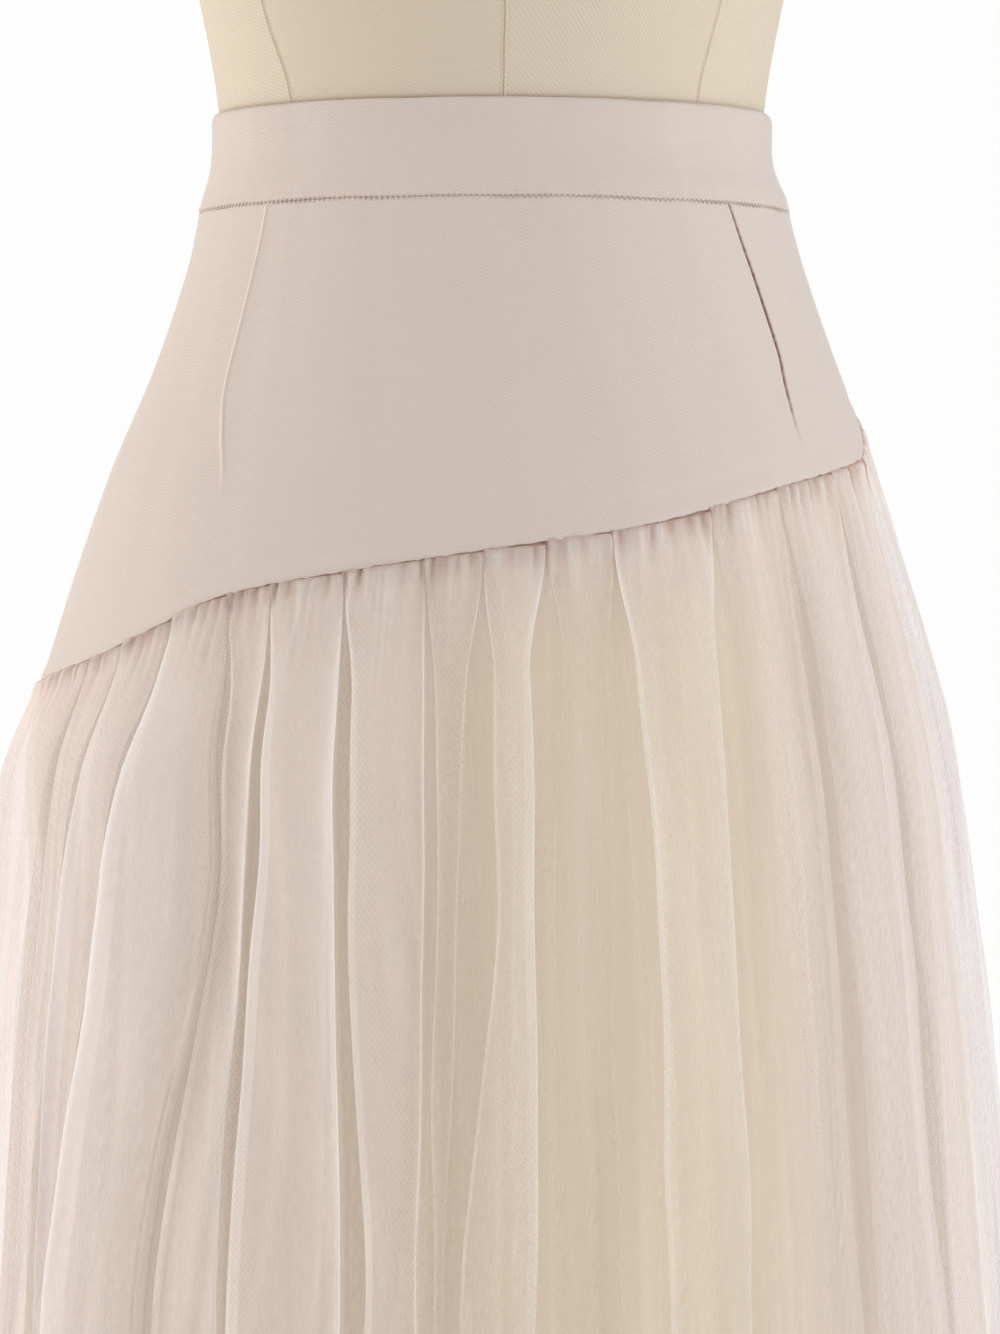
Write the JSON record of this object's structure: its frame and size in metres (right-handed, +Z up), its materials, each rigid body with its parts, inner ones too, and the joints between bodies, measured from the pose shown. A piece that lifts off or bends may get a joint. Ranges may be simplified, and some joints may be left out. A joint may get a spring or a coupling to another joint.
{
  "type": "tulle skirt on dress form",
  "caption": "Long gathered tulle skirt with a plain waistband and a slanting hip yoke, over a second tulle and a lining, on a limbless dress form with a round stand.",
  "frame": {"origin": "on the floor, at the middle of the stand's round foot", "axes": "+Z up; the skirt's front faces -Y; the wearer's left is +X"},
  "size_m": [0.531, 0.4716, 1.5603],
  "materials": {
    "yoke_cloth": "firm nude bird's-eye weave",
    "tulle": "sheer nude net",
    "under_tulle": "sheer nude net, a little denser",
    "lining": "soft cream satin",
    "zip_nylon": "matte nude",
    "zip_metal": "nude enamel",
    "form_linen": "natural linen",
    "cap_wood": "satin varnish",
    "stand_metal": "dark satin paint"
  },
  "bodies": {
    "skirt_on_form": {"waistband": "yoke_cloth", "yoke_front": "yoke_cloth", "yoke_back_left": "yoke_cloth", "yoke_back_right": "yoke_cloth", "tulle_outer_front": "tulle", "tulle_outer_back": "tulle", "tulle_under_front": "under_tulle", "tulle_under_back": "under_tulle", "lining_front": "lining", "lining_back": "lining", "zip_chain": "zip_nylon", "zip_slider": "zip_metal", "form_torso": "form_linen", "form_neck_cap": "cap_wood", "stand_collar": "stand_metal", "stand_pole": "stand_metal", "stand_foot": "stand_metal"},
    "pull_tab": {"zip_pull_tab": "zip_metal"}
  },
  "joints": [
    {"name": "zip_tab_hinge", "type": "hinge", "parent": "skirt_on_form", "child": "pull_tab", "pos_m": [0, 0.09687, 1.0695], "axis": [1, 0, 0], "range_deg": [0, 140]}
  ]
}
